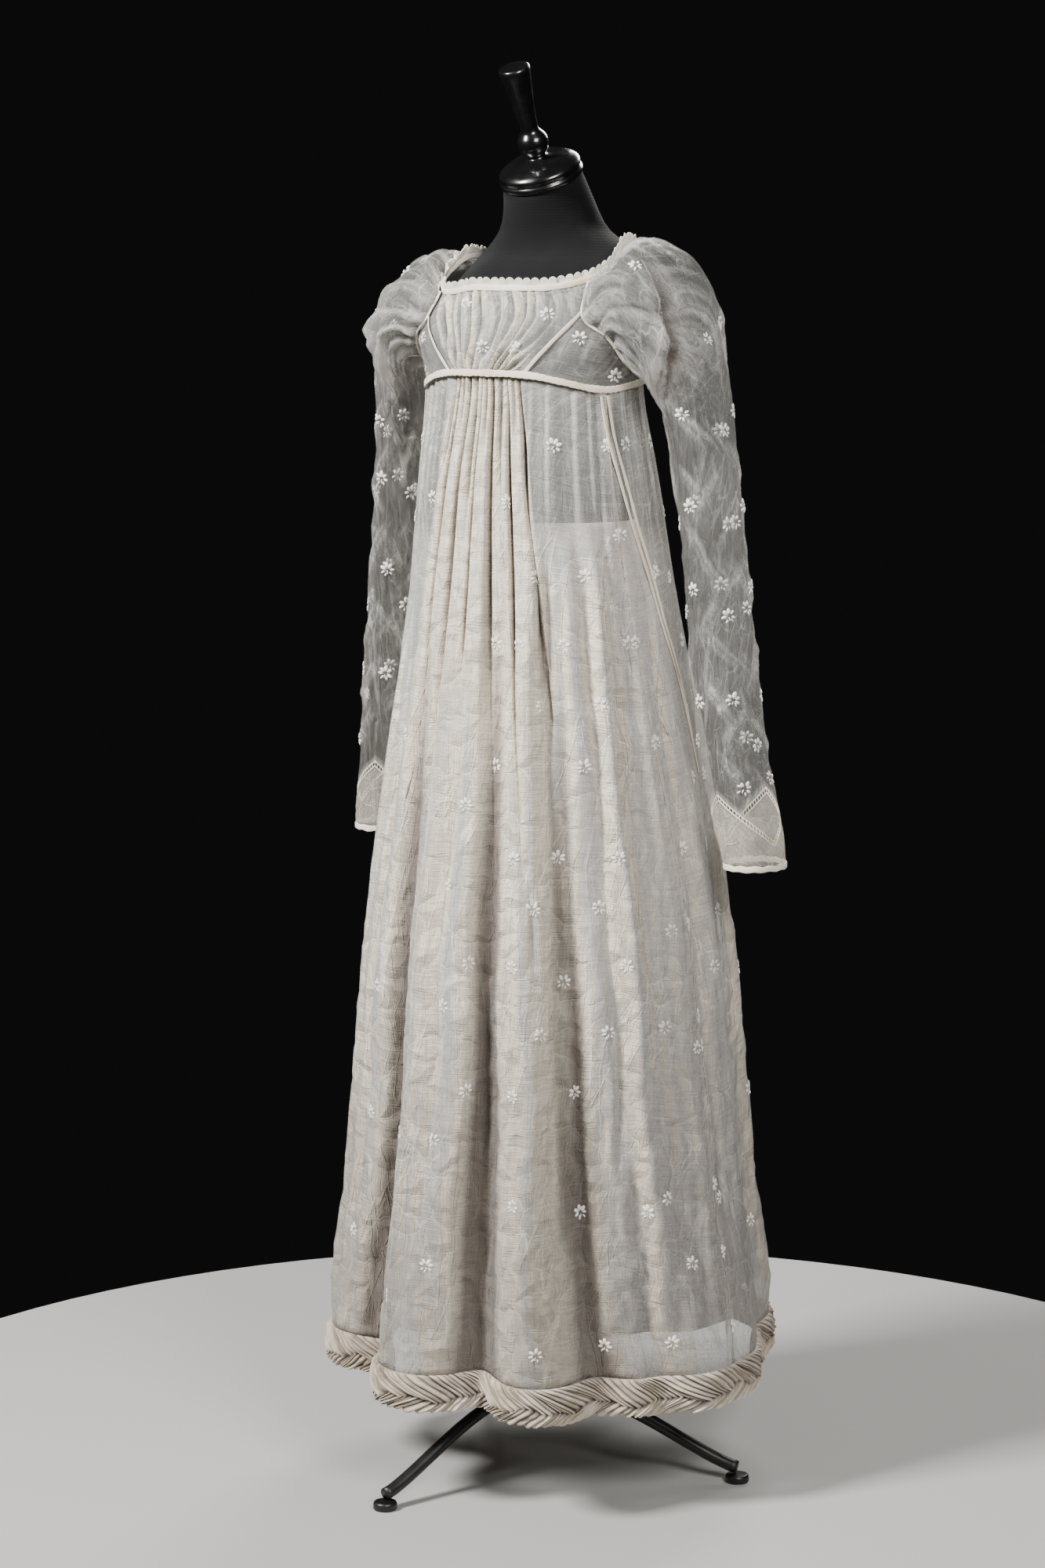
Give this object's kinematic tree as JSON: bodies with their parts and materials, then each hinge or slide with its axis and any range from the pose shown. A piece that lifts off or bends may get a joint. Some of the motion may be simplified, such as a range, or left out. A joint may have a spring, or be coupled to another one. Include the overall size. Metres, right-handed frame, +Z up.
{
  "type": "regency gown on a dress form and stand",
  "caption": "High-waisted sheer muslin gown with long sleeves, gathered front, sprigs, lace neck and plaited hem, on a limbless dress form with a tripod stand",
  "frame": {"origin": "on the floor, under the middle of the whole part's bounding box", "axes": "+Z up; -Y is the gown's front; +X is the wearer's left"},
  "size_m": [0.5964, 0.5679, 1.6537],
  "materials": {
    "muslin": "sheer plain-woven cotton, unpressed",
    "cotton_lining": "plain white cotton, matte",
    "cotton_trim": "padded and plaited cotton, aged ivory",
    "jersey": "black stretch jersey, matte",
    "lacquered_wood": "black lacquer, semi-gloss",
    "painted_iron": "black paint, satin"
  },
  "bodies": {
    "root": {"skirt_front": "muslin", "skirt_back": "muslin", "skirt_side_left": "muslin", "skirt_side_right": "muslin", "bodice_front": "muslin", "bodice_back": "muslin", "bodice_side_front_left": "muslin", "bodice_side_front_right": "muslin", "bodice_side_back_left": "muslin", "bodice_side_back_right": "muslin", "sleeve_left": "muslin", "sleeve_right": "muslin", "cuff_left": "muslin", "cuff_right": "muslin", "underskirt": "cotton_lining", "hem_trim": "cotton_trim", "neck_band": "cotton_trim", "neck_lace": "cotton_trim", "waist_tape": "cotton_trim", "princess_tape_left": "cotton_trim", "princess_tape_right": "cotton_trim", "placket_tape_left_front": "cotton_trim", "placket_tape_left_back": "cotton_trim", "placket_tape_right_front": "cotton_trim", "placket_tape_right_back": "cotton_trim", "insertion_left": "cotton_trim", "insertion_right": "cotton_trim", "cuff_band_left": "cotton_trim", "cuff_band_right": "cotton_trim", "form_torso": "jersey", "neck_cap": "lacquered_wood", "stand_hub": "painted_iron", "stand_pole": "painted_iron", "stand_leg_1": "painted_iron", "stand_leg_2": "painted_iron", "stand_leg_3": "painted_iron", "stand_foot_1": "painted_iron", "stand_foot_2": "painted_iron", "stand_foot_3": "painted_iron"}
  },
  "joints": []
}
